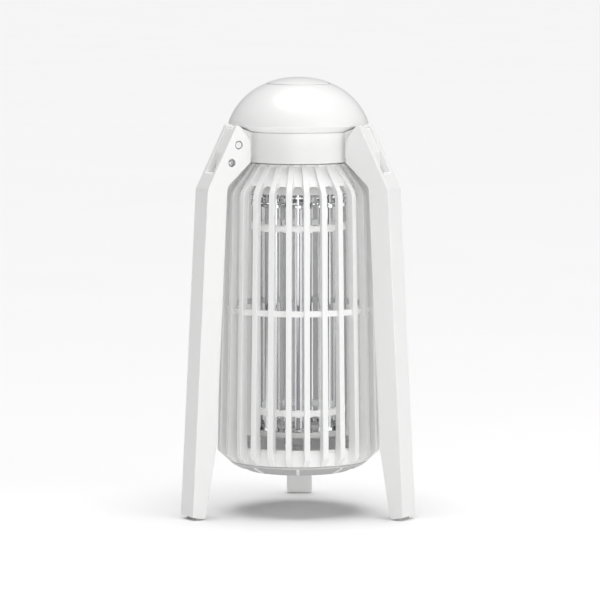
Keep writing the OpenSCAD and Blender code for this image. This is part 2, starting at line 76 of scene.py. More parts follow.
DOME_R = dome_high.x
COLLAR_TOP = dome_low.z
BUTTON_R = button_high.x
BUTTON_TOP = button_high.z
SEAM_Z = crown_high.z
WINDOW_TOP = crown_low.z + 2.5
CAGE_R = node_box("cage_fins")[1].x
CAGE_BOTTOM = node_box("cage_band")[0].z
TRAY_BOTTOM = tray_low.z
TRAY_TOP = tray_high.z
TRAY_LIP_R = tray_high.x
FOOT_R = leg_high.y
LEG_T = leg_high.x - leg_low.x
GRID_R = node_box("upper_spacer_ring")[1].x - 2

# ------------------------------------------------------------ sizes of the details
RIM_Z = 248.6
WELL_FLOOR_Z = 262
BUTTON_UNDER_Z = 270.6
COLLAR_R = 36.8
SCREW_CIRCLE = 29.5
SCREW_AZ = (30, 150, 270)
INLET_Z = 234
INLET_AZ = 60
FIN_COUNT = 27
FIN_T = 3.6
FIN_PITCH = 360 / FIN_COUNT
SHOULDER = (48.6, 206.6)
WAIST = (51.2, 70)
NECK_R = 33.4
ROD_COUNT = 24
ROD_R = 1.1
TRAY_WALL_R = TRAY_LIP_R - 1.6
TRAY_FLOOR_R = 33
TRAY_LIP_Z = 33.6
LEG_AZ = {"left": 210, "right": 330, "back": 90}
PIVOT = (47.7, 236.5)
SCREW_AT = (PIVOT[0] + 5, PIVOT[1] - 11.1)
SCREW_SEAT = 2
BRACKET_T = 9.5
BRACKET_REACH = 16.8
LEG_SWING = 10
PAD_OUT = 3.3
PAD_IN = 8.3


# ------------------------------------------------------------ outlines
def rounded(points, step=7.5):
    """Closed outline in which each (x, y, radius) corner is an arc tangent to both its sides."""
    result = []
    count = len(points)
    for i, (x, y, radius) in enumerate(points):
        here = Vector((x, y))
        if not radius:
            result.append(here)
            continue
        before = (Vector(points[i - 1][:2]) - here).normalized()
        after = (Vector(points[(i + 1) % count][:2]) - here).normalized()
        half = before.angle(after) / 2
        centre = here + (before + after).normalized() * radius / math.sin(half)
        start = here + before * radius / math.tan(half) - centre
        turn = math.pi - 2 * half
        if before.x * after.y > before.y * after.x:
            turn = -turn
        steps = max(3, math.ceil(math.degrees(abs(turn)) / step))
        for k in range(steps + 1):
            a = turn * k / steps
            across = start.x * math.cos(a) - start.y * math.sin(a)
            up = start.x * math.sin(a) + start.y * math.cos(a)
            result.append(centre + Vector((across, up)))
    return result


def arc(centre, radius, first, last, steps):
    """Points (x, y, 0) along an arc, angles in degrees."""
    angles = [math.radians(first + (last - first) * i / steps) for i in range(steps + 1)]
    return [(centre[0] + radius * math.cos(a), centre[1] + radius * math.sin(a), 0) for a in angles]


# ------------------------------------------------------------ meshes, in millimetres
def lathe(points, segments=168, closed=True, start=0.0, height=None):
    """Turns (radius, z) points round the centre line. height(angle, z) may move a point up or down."""
    bm = bmesh.new()
    rings = []
    for radius, z in points:
        if radius < 1e-6:
            rings.append([bm.verts.new((0, 0, z))])
            continue
        ring = []
        for i in range(segments):
            a = start + math.tau * i / segments
            dz = height(a, z) if height else 0
            ring.append(bm.verts.new((radius * math.cos(a), radius * math.sin(a), z + dz)))
        rings.append(ring)
    pairs = list(zip(rings, rings[1:]))
    if closed:
        pairs.append((rings[-1], rings[0]))
    for low, high in pairs:
        if len(low) == 1 and len(high) == 1:
            continue
        for i in range(segments):
            j = (i + 1) % segments
            if len(low) == 1:
                bm.faces.new((low[0], high[j], high[i]))
            elif len(high) == 1:
                bm.faces.new((low[i], low[j], high[0]))
            else:
                bm.faces.new((low[i], low[j], high[j], high[i]))
    bmesh.ops.recalc_face_normals(bm, faces=bm.faces[:])
    return bm


def spun(points, segments):
    """A solid of turning, whose outline of (radius, z, corner) points starts and ends on the line."""
    return lathe(rounded(points), segments, closed=False)


def hoop(points, segments):
    """A ring, whose outline of (radius, z, corner) points stays clear of the centre line."""
    return lathe(rounded(points), segments)


def bar(radius, low, high, edges, segments):
    """An upright round bar. Edges are the radii of its lower and upper rims."""
    return spun([(0, low, 0), (radius, low, edges[0]), (radius, high, edges[1]), (0, high, 0)], segments)


def washer(inner, outer, low, high, edges, segments):
    """A ring of square section. Edges are its corner radii: below inside, outside, then above."""
    corners = ((inner, low), (outer, low), (outer, high), (inner, high))
    return hoop([(*corner, edge) for corner, edge in zip(corners, edges)], segments)


def slab(points, thickness):
    """A plate whose (radius, z) outline lies in the radial plane through +X."""
    bm = bmesh.new()
    near = [bm.verts.new((x, -thickness / 2, z)) for x, z in points]
    far = [bm.verts.new((x, thickness / 2, z)) for x, z in points]
    bm.faces.new(near)
    bm.faces.new(far[::-1])
    for i in range(len(near)):
        j = (i + 1) % len(near)
        bm.faces.new((near[i], far[i], far[j], near[j]))
    bmesh.ops.recalc_face_normals(bm, faces=bm.faces[:])
    return bm


def block(low, high):
    """An axis-aligned box between two corners."""
    outline = [(low[0], low[2]), (high[0], low[2]), (high[0], high[2]), (low[0], high[2])]
    bm = slab(outline, high[1] - low[1])
    return moved(bm, (0, (low[1] + high[1]) / 2, 0))


def moved(bm, offset):
    bmesh.ops.translate(bm, verts=bm.verts[:], vec=Vector(offset))
    return bm


def turned(bm, degrees, axis="Z"):
    spin = Matrix.Rotation(math.radians(degrees), 3, axis)
    bmesh.ops.rotate(bm, verts=bm.verts[:], cent=(0, 0, 0), matrix=spin)
    return bm


def bevelled(bm, width, segments=3, angle=40):
    """Rounds every edge sharper than an angle."""
    limit = math.radians(angle)
    edges = [e for e in bm.edges if len(e.link_faces) == 2 and e.calc_face_angle() > limit]
    bmesh.ops.bevel(bm, geom=edges, offset=width, segments=segments, profile=0.5, affect="EDGES",
                    clamp_overlap=True)
    return bm


def merged(parts):
    """One mesh from several, which are used up."""
    whole = bmesh.new()
    for part in parts:
        mesh = bpy.data.meshes.new("part")
        part.to_mesh(mesh)
        part.free()
        whole.from_mesh(mesh)
        bpy.data.meshes.remove(mesh)
    return whole


def copies(make, angles):
    """The same mesh, made once and repeated round the centre line."""
    source = make()
    whole = merged([turned(source.copy(), degrees) for degrees in angles])
    source.free()
    return whole


def carved(bm, tools):
    """Cuts the tools out of a mesh with exact booleans."""
    body = bare_object("carved", bm)
    helpers = [bare_object("tool", tool) for tool in tools]
    for helper in helpers:
        modifier = body.modifiers.new("cut", "BOOLEAN")
        modifier.operation = "DIFFERENCE"
        modifier.solver = "EXACT"
        modifier.object = helper
    bpy.context.view_layer.update()
    depsgraph = bpy.context.evaluated_depsgraph_get()
    result = bmesh.new()
    result.from_object(body, depsgraph)
    for item in [body] + helpers:
        mesh = item.data
        bpy.data.objects.remove(item)
        bpy.data.meshes.remove(mesh)
    bmesh.ops.remove_doubles(result, verts=result.verts[:], dist=0.0005)
    return result


def bare_object(name, bm):
    mesh = bpy.data.meshes.new(name)
    bm.to_mesh(mesh)
    bm.free()
    item = bpy.data.objects.new(name, mesh)
    bpy.context.scene.collection.objects.link(item)
    return item


def piece(name, bm, material, body, slot, *nodes, sharp=38):
    """Puts a finished mesh into the row frame as a piece that stands for CAD nodes."""
    bmesh.ops.scale(bm, vec=(MM, MM, MM), verts=bm.verts[:])
    moved(bm, (0, AXIS_Y, 0))
    bmesh.ops.recalc_face_normals(bm, faces=bm.faces[:])
    item = bare_object(name, bm)
    item.data.materials.append(material)
    item.data.shade_smooth()
    item.data.set_sharp_from_angle(angle=math.radians(sharp))
    normals = item.modifiers.new("normals", "WEIGHTED_NORMAL")
    normals.keep_sharp = True
    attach(item, body)
    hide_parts(*nodes)
    return item


# ------------------------------------------------------------ materials
class Nodes:
    """Small helper that adds nodes to a material and links them by name."""

    def __init__(self, name):
        self.material = bpy.data.materials.new(name)
        self.material.use_nodes = True
        self.tree = self.material.node_tree
        self.shader = self.tree.nodes["Principled BSDF"]
        coords = self.tree.nodes.new("ShaderNodeTexCoord")
        self.place = coords.outputs["Object"]

    def add(self, kind, **values):
        item = self.tree.nodes.new("ShaderNode" + kind)
        for key, value in values.items():
            if hasattr(item, key):
                setattr(item, key, value)
            else:
                item.inputs[key.replace("_", " ")].default_value = value
        return item

    def link(self, out, into):
        self.tree.links.new(out, into)

    def noise(self, scale, detail=3.0, stretch=None):
        item = self.add("TexNoise", Scale=scale, Detail=detail)
        source = self.place
        if stretch:
            mapping = self.add("Mapping")
            mapping.inputs["Scale"].default_value = stretch
            self.link(source, mapping.inputs["Vector"])
            source = mapping.outputs["Vector"]
        self.link(source, item.inputs["Vector"])
        return item.outputs["Fac"]

    def spread(self, value, low, high, start=0.3, end=0.7):
        """Maps a noise value onto a range."""
        item = self.add("MapRange")
        item.inputs["From Min"].default_value = start
        item.inputs["From Max"].default_value = end
        item.inputs["To Min"].default_value = low
        item.inputs["To Max"].default_value = high
        self.link(value, item.inputs["Value"])
        return item.outputs["Result"]

    def mix(self, factor, first, second):
        item = self.add("Mix")
        item.data_type = "RGBA"
        if isinstance(factor, float):
            item.inputs["Factor"].default_value = factor
        else:
            self.link(factor, item.inputs["Factor"])
        for value, socket in ((first, item.inputs[6]), (second, item.inputs[7])):
            if isinstance(value, tuple):
                socket.default_value = (*value, 1)
            else:
                self.link(value, socket)
        return item.outputs[2]

    def maths(self, operation, first, second):
        item = self.add("Math", operation=operation)
        for value, socket in ((first, item.inputs[0]), (second, item.inputs[1])):
            if isinstance(value, float):
                socket.default_value = value
            else:
                self.link(value, socket)
        return item.outputs["Value"]

    def bump(self, layers):
        """Stacks (height, strength, distance) layers of fine relief on the shader."""
        normal = None
        for height, strength, distance in layers:
            item = self.add("Bump", Strength=strength, Distance=distance)
            self.link(height, item.inputs["Height"])
            if normal:
                self.link(normal, item.inputs["Normal"])
            normal = item.outputs["Normal"]
        self.link(normal, self.shader.inputs["Normal"])

    def set(self, **values):
        for key, value in values.items():
            self.shader.inputs[key.replace("_", " ")].default_value = value


def moulded(name, colour, roughness=0.32, grain=1.0, coat=0.0, soft=0.0, painted_glow=0.0):
    """Moulded plastic: broad, faint flow marks in colour and polish, and a very fine grain. A faint
    white emission can be added as a painted glow.
    """
    n = Nodes(name)
    flow = n.spread(n.noise(14, 2, (1, 1, 0.4)), 0.0, 1.0)
    n.link(n.mix(flow, tuple(c * 0.985 for c in colour), colour), n.shader.inputs["Base Color"])
    n.link(n.spread(n.noise(30, 2), roughness - 0.02, roughness + 0.03), n.shader.inputs["Roughness"])
    n.bump([(n.noise(1400, 1), 0.03 * grain, 0.00005)])
    n.set(IOR=1.5, Coat_Weight=coat, Coat_Roughness=0.12)
    # Painted glow: a faint white emission that brightens a part that is no lamp.
    if painted_glow:
        n.set(Emission_Color=(1, 1, 1, 1), Emission_Strength=painted_glow)
    if soft:
        n.set(Subsurface_Weight=soft, Subsurface_Radius=(0.004, 0.004, 0.0035), Subsurface_Scale=0.5)
    return n.material


def metal(name, colour, roughness, stretch, relief=0.08, tarnish=0.04):
    """Plated or drawn metal: lines along the piece, patches of different polish, faint tarnish."""
    n = Nodes(name)
    lines = n.noise(900, 3, stretch)
    patches = n.spread(n.noise(70, 4), 0.0, 1.0)
    dull = tuple(c * (1 - tarnish) for c in colour)
    n.link(n.mix(patches, dull, colour), n.shader.inputs["Base Color"])
    n.link(n.spread(lines, roughness * 0.75, roughness * 1.35), n.shader.inputs["Roughness"])
    n.bump([(lines, relief, 0.00005)])
    n.set(Metallic=1.0)
    return n.material


def chrome_with_painted_reflections(name):
    """Bright plating whose colour carries long dark and light bands along the rods: painted reflections
    of dark and bright surroundings.
    """
    n = Nodes(name)
    lines = n.noise(900, 3, (1, 1, 0.03))
    painted_reflection_bands = n.spread(n.noise(330, 1, (1, 1, 0.012)), 0.0, 1.0, 0.42, 0.56)
    # Painted reflection: dark and bright bands in the base colour stand in for what polished rods
    # reflect.
    n.link(n.mix(painted_reflection_bands, (0.34, 0.34, 0.35), (0.92, 0.93, 0.94)), n.shader.inputs["Base Color"])
    n.link(n.spread(lines, 0.06, 0.12), n.shader.inputs["Roughness"])
    n.bump([(lines, 0.02, 0.00005)])
    n.set(Metallic=1.0)
    return n.material


def clear_glass(name):
    """Drawn glass tube, with faint lines along it and a slight unevenness of polish."""
    n = Nodes(name)
    lines = n.noise(500, 2, (1, 1, 0.02))
    tint = n.mix(n.spread(lines, 0.0, 1.0), (0.93, 0.93, 0.95), (0.97, 0.97, 0.98))
    n.link(tint, n.shader.inputs["Base Color"])
    n.link(n.spread(n.noise(120, 2), 0.02, 0.05), n.shader.inputs["Roughness"])
    n.bump([(lines, 0.01, 0.00005)])
    n.set(IOR=1.08, Transmission_Weight=1.0)
    return n.material


def fired_coating(name):
    """The lamp's milky inner tube: an uneven white coating."""
    n = Nodes(name)
    cloud = n.spread(n.noise(140, 4, (1, 1, 0.3)), 0.0, 1.0)
    n.link(n.mix(cloud, (0.90, 0.90, 0.92), (0.97, 0.97, 0.98)), n.shader.inputs["Base Color"])
    n.link(n.spread(n.noise(300, 2), 0.30, 0.45), n.shader.inputs["Roughness"])
    n.bump([(n.noise(90, 2), 0.04, 0.0002)])
    n.set(IOR=1.5, Specular_IOR_Level=0.1, Emission_Color=(1, 1, 1, 1), Emission_Strength=0.4)
    return n.material


def tray_plastic_painted_shade(name):
    """Painted shade: the outside of the dish's cone is painted grey where shade falls under the tray;
    the inside is a paler grey. What stands out from the dish's cone, rim and grips, is white.
    """
    n = Nodes(name)
    painted_shade_grey = n.mix(n.spread(n.noise(14, 2), 0.0, 1.0), (0.54, 0.54, 0.54), (0.57, 0.57, 0.57))
    pale = n.mix(n.spread(n.noise(20, 2), 0.0, 1.0), (0.84, 0.84, 0.84), (0.86, 0.86, 0.86))
    white = n.mix(n.spread(n.noise(30, 2), 0.0, 1.0), (0.90, 0.90, 0.895), (0.92, 0.92, 0.915))
    place = n.add("SeparateXYZ")
    n.link(n.place, place.inputs["Vector"])
    flat = n.add("CombineXYZ")
    n.link(place.outputs["X"], flat.inputs["X"])
    n.link(n.maths("SUBTRACT", place.outputs["Y"], AXIS_Y), flat.inputs["Y"])
    radius = n.add("VectorMath", operation="LENGTH")
    n.link(flat.outputs["Vector"], radius.inputs[0])
    slope = (TRAY_WALL_R + 0.5 - TRAY_FLOOR_R) / (TRAY_LIP_Z - 1.2 - TRAY_BOTTOM)
    cone = n.maths("MULTIPLY", n.maths("SUBTRACT", place.outputs["Z"], TRAY_BOTTOM * MM), slope)
    over_cone = n.maths("SUBTRACT", radius.outputs["Value"], cone)
    beyond = n.maths("SUBTRACT", over_cone, TRAY_FLOOR_R * MM)
    # Painted shade: the outside of the cone takes the grey, the inside the paler tone.
    dish = n.mix(n.spread(beyond, 0.0, 1.0, -0.0012, -0.0008), pale, painted_shade_grey)
    colour = n.mix(n.spread(beyond, 0.0, 1.0, 0.0003, 0.0005), dish, white)
    n.link(colour, n.shader.inputs["Base Color"])
    n.link(n.spread(n.noise(40, 2), 0.34, 0.40), n.shader.inputs["Roughness"])
    n.bump([(n.noise(1400, 1), 0.05, 0.00005)])
    n.set(IOR=1.5)
    return n.material


def board_mask(name):
    """Green solder mask with faint traces."""
    n = Nodes(name)
    wave = n.add("TexWave", Scale=160.0, Distortion=6.0, Detail=1.0)
    n.link(n.place, wave.inputs["Vector"])
    trace = n.spread(wave.outputs["Fac"], 0.0, 1.0, 0.45, 0.55)
    n.link(n.mix(trace, (0.02, 0.13, 0.06), (0.03, 0.20, 0.09)), n.shader.inputs["Base Color"])
    n.link(n.spread(n.noise(200, 2), 0.28, 0.38), n.shader.inputs["Roughness"])
    n.bump([(trace, 0.3, 0.00004)])
    return n.material


WHITE = moulded("white_shell", (0.90, 0.90, 0.895), 0.30, coat=0.15, soft=0.06)
WHITE_CAGE = moulded("white_cage", (0.92, 0.92, 0.915), 0.32, coat=0.10, soft=0.06)
# The spacer rings' insulator has a painted glow: a faint emission that brightens them inside the cage's
# shade.
INSULATOR_PAINTED_GLOW = moulded("white_insulator", (0.94, 0.94, 0.935), 0.48, painted_glow=0.16)
HOLDER = moulded("pale_holder", (0.80, 0.80, 0.795), 0.45)
# The tray's plastic has painted shade on the outside of its cone.
TRAY = tray_plastic_painted_shade("tray_plastic_painted_shade")
POST = moulded("pale_post", (0.74, 0.74, 0.74), 0.40)
# The rods' chrome carries painted reflections in its colour.
CHROME = chrome_with_painted_reflections("chrome_plate")
STEEL = metal("zinc_steel", (0.62, 0.62, 0.63), 0.26, (1, 1, 1), 0.12, 0.15)
PALE_PIN = moulded("pin_cap", (0.84, 0.84, 0.84), 0.30)
CAP = metal("lamp_cap_metal", (0.58, 0.58, 0.60), 0.30, (1, 1, 0.2), 0.10, 0.1)
SOCKET = metal("socket_metal", (0.34, 0.34, 0.36), 0.22, (1, 1, 0.1), 0.08, 0.1)
GLASS = clear_glass("lamp_glass")
LAMP_WHITE = fired_coating("lamp_white")
BOARD = board_mask("board_green")
BLACK = moulded("black_plastic", (0.03, 0.03, 0.032), 0.38)
YELLOW = moulded("coil_tape", (0.70, 0.55, 0.14), 0.42)
BLUE = moulded("blue_epoxy", (0.03, 0.06, 0.25), 0.22, coat=0.5)
RED = moulded("red_sleeve", (0.45, 0.03, 0.02), 0.45)
CLEAR = moulded("silicone_sleeve", (0.78, 0.78, 0.76), 0.35)
RUBBER = moulded("pad_rubber", (0.62, 0.62, 0.61), 0.65, grain=2.5)


# ------------------------------------------------------------ head
def dome_cover():
    """The dome, with the button's well and its floor inside it and three screw bosses."""
    rim_a, curve, wall = 18.4, 41.0, 2
    slope = math.radians(rim_a)
    centre = (DOME_R - curve * math.cos(slope), RIM_Z - curve * math.sin(slope))
    hole_r = BUTTON_R + 0.5
    hole_a = math.degrees(math.acos((hole_r - centre[0]) / curve))
    hole_edge = centre[1] + curve * math.sin(math.radians(hole_a))
    sleeve_r = hole_r + wall
    inner_a = math.degrees(math.acos((sleeve_r - centre[0]) / (curve - wall)))
    deck_r, deck_top = 26, COLLAR_TOP + wall
    bore, under = 4.4, WELL_FLOOR_Z - wall
    points = [(deck_r, COLLAR_TOP, 0.3), (COLLAR_R, COLLAR_TOP, 0)]
    points += [(COLLAR_R + 0.3, COLLAR_TOP + 0.05, 0), (DOME_R, RIM_Z - 0.3, 0.75)]
    points += arc(centre, curve, rim_a + 3, hole_a - 0.8, 40)
    points += [(hole_r, hole_edge, 0.35), (hole_r, WELL_FLOOR_Z, 0), (bore, WELL_FLOOR_Z, 0)]
    points += [(bore, under, 0), (sleeve_r, under, 0)]
    points += arc(centre, curve - wall, inner_a, rim_a, 16)
    points += [(COLLAR_R - 1, deck_top, 0), (deck_r, deck_top, 0.3)]

    def boss():
        return moved(bar(3, COLLAR_TOP, COLLAR_TOP + 8, (0.3, 0.3), 32), (SCREW_CIRCLE, 0, 0))
    bm = merged([hoop(points, 216), copies(boss, SCREW_AZ)])
    return piece("dome_shell", bm, WHITE, "housing", "white_gloss", "dome_cover")


def top_button():
    """The button's slightly domed cap, its skirt and the plunger under it."""
    plunger_r, plunger_z = 4, 257
    skirt_r, skirt_z = BUTTON_R - 1.6, 264.6
    edge_z = 274.3
    dip = BUTTON_TOP - edge_z
    curve = (BUTTON_R ** 2 + dip ** 2) / (2 * dip)
    half = math.degrees(math.asin(BUTTON_R / curve))
    points = [(plunger_r, plunger_z, 0.4), (plunger_r, BUTTON_UNDER_Z, 0.6)]
    points += [(skirt_r, BUTTON_UNDER_Z, 0.5), (skirt_r, skirt_z, 0.3), (BUTTON_R, skirt_z, 0.3)]
    points += [(BUTTON_R, edge_z, 0.45)]
    points += arc((0, BUTTON_TOP - curve), curve, 90 - half + 0.5, 90, 30)[:-1]
    points += [(0, BUTTON_TOP, 0), (0, plunger_z, 0)]
    return piece("button_cap", hoop(points, 180), WHITE, "button", "white_gloss", "top_button")


def button_coil():
    """The button's coil spring, from the well floor up to the button's underside."""
    foot, top, radius, wire, turns = WELL_FLOOR_Z, BUTTON_UNDER_Z, 7, 0.45, 5
    around, sides = 32, 10
    low, high = foot + wire + 0.05, top - wire - 0.05
    count = turns * around
    bm = bmesh.new()
    rings = []
    for i in range(count + 1):
        a = math.tau * i / around
        z = low + (high - low) * i / count
        ring = []
        for j in range(sides):
            b = math.tau * j / sides
            r = radius + wire * math.cos(b)
            ring.append(bm.verts.new((r * math.cos(a), r * math.sin(a), z + wire * math.sin(b))))
        rings.append(ring)
    for first, second in zip(rings, rings[1:]):
        for j in range(sides):
            k = (j + 1) % sides
            bm.faces.new((first[j], second[j], second[k], first[k]))
    bm.faces.new(rings[0])
    bm.faces.new(rings[-1][::-1])
    item = piece("button_coil", bm, STEEL, "button", "spring_steel", "button_spring")
    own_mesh(item)
    return item


def bracket():
    """The arm that a leg straddles, with the arc slot for the leg's screw."""
    low = PIVOT[1] - BRACKET_REACH
    face_r = 57.2
    drop = math.degrees(math.asin((face_r - PIVOT[0]) / BRACKET_REACH))
    lobe = arc(PIVOT, BRACKET_REACH, 264, 270 + drop, 12)
    points = [(COLLAR_R - 1.5, 228, 0), (40.5, 228, 1.0), (45.9, low + 0.1, 0)] + lobe
    points += [(face_r, 231.8, 1.0), (49.3, 246.6, 1.2), (44.5, 247, 2), (COLLAR_R - 1.5, 243.7, 0)]
    body = slab(rounded(points), BRACKET_T)
    arm = math.hypot(*(SCREW_AT[i] - PIVOT[i] for i in (0, 1)))
    start = math.degrees(math.atan2(SCREW_AT[1] - PIVOT[1], SCREW_AT[0] - PIVOT[0]))
    outer = arc(PIVOT, arm + 1.55, start - 4, start + LEG_SWING + 4, 8)
    inner = arc(PIVOT, arm - 1.55, start + LEG_SWING + 4, start - 4, 8)
    slot = slab([p[:2] for p in outer + inner], 20)
    return bevelled(carved(body, [slot]), 0.4, 3)


def head_collar():
    """The band under the dome, its deck, posts and lugs, and the three arms."""
    lip, inner = COLLAR_R - 0.9, COLLAR_R - 2
    bottom, top = SEAM_Z + 0.2, COLLAR_TOP - 0.5
    wall = hoop([(inner, bottom, 0), (COLLAR_R, bottom, 0.3), (COLLAR_R, top, 0.35), (lip, top, 0),
                 (lip, COLLAR_TOP, 0), (inner, COLLAR_TOP, 0)], 216)
    window = block((COLLAR_R - 4, -4.6, INLET_Z - 5.1), (COLLAR_R + 4, 4.6, INLET_Z + 5.1))
    wall = carved(wall, [turned(window, INLET_AZ)])
    deck = washer(12, inner, SEAM_Z, SEAM_Z + 2.2, (0.3, 0, 0, 0.3), 120)
    arms = copies(bracket, LEG_AZ.values())

    def post():
        return moved(washer(1.2, 3.4, 226, 249, (0, 0, 0.4, 0.3), 40), (20, 0, 0))

    def lug():
        ring = washer(1.7, 5.7, COLLAR_TOP - 3, COLLAR_TOP, (0, 0.3, 0.3, 0), 40)
        return moved(ring, (SCREW_CIRCLE, 0, 0))
    bm = merged([wall, deck, arms, copies(post, LEG_AZ.values()), copies(lug, SCREW_AZ)])
    return piece("collar", bm, WHITE, "housing", "white_gloss", "head_collar")


def inlet():
    """The power inlet in the collar's window, and its pin."""
    mouth, back = COLLAR_R - 0.3, COLLAR_R - 10
    body = block((mouth - 13, -4.5, INLET_Z - 5), (mouth, 4.5, INLET_Z + 5))
    bore = turned(bar(3.1, 0, 12, (0, 0), 48), 90, "Y")
    body = bevelled(carved(body, [moved(bore, (back, 0, INLET_Z))]), 0.3, 2)
    piece("inlet_body", turned(body, INLET_AZ), BLACK, "housing", "switch_black", "inlet_socket")
    pin = turned(bar(1, 0, 8, (0, 0.5), 32), 90, "Y")
    pin = turned(moved(pin, (back, 0, INLET_Z)), INLET_AZ)
    piece("inlet_pin", pin, CHROME, "housing", "chrome", "inlet_contact")


# ------------------------------------------------------------ cage
def shoulder_r(z):
    """The radius of the fins' outer edge above the shoulder."""
    slope = (SHOULDER[0] - NECK_R) / (SEAM_Z - SHOULDER[1])
    return SHOULDER[0] - (z - SHOULDER[1]) * slope


def fin():
    """One upright fin: down its inner edge first, then up its outer edge."""
    points = [
        (31.8, SEAM_Z - 0.6, 0), (31.4, SEAM_Z - 4, 0), (44.75, 203.4, 8),
        (WAIST[0] - 5, WAIST[1], 30), (45.4, 42.4, 0), (45.4, CAGE_BOTTOM, 0.4),
        (46.0, CAGE_BOTTOM, 0.4), (CAGE_R, CAGE_BOTTOM + 5.5, 2.2), (*WAIST, 40), (*SHOULDER, 9),
        (shoulder_r(SEAM_Z - 2.2), SEAM_Z - 2.2, 2.5), (NECK_R, SEAM_Z - 0.6, 0.3)]
    return bevelled(slab(rounded(points), FIN_T), 1.05, 4)


def from_fin(angle):
    """Distance in degrees from the middle of the nearest fin."""
    turns = (math.degrees(angle) + 90) / FIN_PITCH - 0.5
    return abs(turns - round(turns)) * FIN_PITCH


def web():
    """The closed cone between the fins, with rounded corners over each opening."""
    sink, thick, low = 2.3, 2.8, WINDOW_TOP
    radius = 2.4
    top = SEAM_Z - 1.0

    def arch(angle, z):
        if z > low + 0.2:
            return 0
        side = math.radians(from_fin(angle)) * 42 - FIN_T / 2
        reach = min(max(side, 0), radius)
        return -(radius - math.sqrt(radius ** 2 - (radius - reach) ** 2))

    rows = [top - (top - low) * i / 8 for i in range(9)]
    outside = [(shoulder_r(z) - sink, z) for z in rows]
    inside = [(shoulder_r(z) - sink - thick, z) for z in rows[::-1]]
    edge = shoulder_r(low) - sink
    lip = [(edge - 0.5, low - 0.15), (edge - thick + 0.5, low - 0.15)]
    return lathe(outside + lip + inside, FIN_COUNT * 24, start=math.radians(-90), height=arch)


def cage():
    """The fins, the cone and ring at their top, the ring round their middle and the band below."""
    fins = copies(fin, [(i + 0.5) * FIN_PITCH - 90 for i in range(FIN_COUNT)])
    inner, step = 26.4, 30.8
    top_ring = hoop([(inner, SEAM_Z - 2.6, 0.3), (31.6, SEAM_Z - 2.6, 0), (33.9, SEAM_Z - 1.6, 0.4),
                     (33.8, SEAM_Z - 0.8, 0.2), (step, SEAM_Z - 0.8, 0), (step, SEAM_Z, 0),
                     (inner, SEAM_Z, 0.3)], 216)
    mid_ring = washer(mid_high.x - 3, mid_high.x, mid_low.z, mid_high.z, (0.5, 0.5, 0.5, 0.5), 216)
    band = hoop([(43.2, CAGE_BOTTOM, 0.3), (46, CAGE_BOTTOM, 0.5), (46, 42.4, 1.0), (44.4, 44.4, 0.5),
                 (43.2, 44.4, 0.3)], 216)
    whole = merged([fins, web(), top_ring, mid_ring, band])
    return piece("finned_cage", whole, WHITE_CAGE, "housing", "white_cage",
                 "cage_crown", "cage_fins", "cage_mid_ring", "cage_band")


# ------------------------------------------------------------ grid and lamp
def rod_angles(first=0, step=1):
    return [i * 360 / ROD_COUNT for i in range(first, ROD_COUNT, step)]


def rod():
    low, high = node_box("live_rods")
    return moved(bar(ROD_R, low.z, high.z, (0.4, 0.4), 28), (GRID_R, 0, 0))


def hex_nut(z, height):
    """A nut with turned-down corners and a washer face."""
    bm = bmesh.new()
    levels = [(2.0, 0), (2.35, 0.35), (2.35, height - 0.35), (2.0, height)]
    corners = [math.tau * k / 6 for k in range(6)]
    rings = [[bm.verts.new((r * math.cos(a), r * math.sin(a), z + h)) for a in corners]
             for r, h in levels]
    for low, high in zip(rings, rings[1:]):
        for i in range(6):
            bm.faces.new((low[i], low[(i + 1) % 6], high[(i + 1) % 6], high[i]))
    bm.faces.new(rings[0][::-1])
    bm.faces.new(rings[-1])
    bmesh.ops.recalc_face_normals(bm, faces=bm.faces[:])
    return moved(bevelled(bm, 0.12, 2, 25), (GRID_R, 0, 0))


def toothed_ring(z, thickness, phase):
    """A thin contact ring with a tab at every second rod."""
    def outer(angle):
        tab = math.cos((math.degrees(angle) - phase) * math.pi / 180 * ROD_COUNT / 2)
        return GRID_R + 1.2 + 1.4 * min(max(tab * 2.2, -1), 1)

    bm = bmesh.new()
    count = ROD_COUNT * 16
    inner = GRID_R - 5.2
    rings = []
    for radius, level in ((None, 0), (None, thickness), (inner, thickness), (inner, 0)):
        ring = []
        for i in range(count):
            a = math.tau * i / count
            r = outer(a) if radius is None else radius
            ring.append(bm.verts.new((r * math.cos(a), r * math.sin(a), z + level)))
        rings.append(ring)
    for low, high in zip(rings, rings[1:] + rings[:1]):
        for i in range(count):
            j = (i + 1) % count
            bm.faces.new((low[i], low[j], high[j], high[i]))
    bmesh.ops.recalc_face_normals(bm, faces=bm.faces[:])
    return bevelled(bm, 0.15, 2, 60)


def spacer_ring(node, name):
    """A white ring that holds the rods apart, with a collar round each."""
    low, high = node_box(node)
    ring = washer(26, 30, low.z, high.z, (0.6, 0.6, 0.6, 0.6), 192)

    def collar():
        tube = washer(ROD_R + 0.05, 1.9, low.z - 0.6, high.z + 0.6, (0, 0.3, 0.3, 0), 24)
        return moved(tube, (GRID_R, 0, 0))
    whole = merged([ring, copies(collar, rod_angles())])
    # Its material carries a painted glow.
    return piece(name, whole, INSULATOR_PAINTED_GLOW, "housing", "white_insulator", node)


def upper_holder():
    """The disc over the rods, with a sleeve and three ribs up to the crown."""
    low = node_box("upper_grid_holder")[0].z
    top = low + 6
    disc = hoop([(3, low, 0.3), (36, low, 0.8), (36, top, 1.2), (15, top, 1.0), (15, SEAM_Z, 0),
                 (13, SEAM_Z, 0), (13, top, 0.5), (3, top, 0.3)], 168)
    ribs = copies(lambda: bevelled(block((14, -2, low + 3), (22, 2, SEAM_Z)), 0.4), SCREW_AZ)
    return piece("grid_holder_top", merged([disc, ribs]), HOLDER, "housing", "white_insulator",
                 "upper_grid_holder")


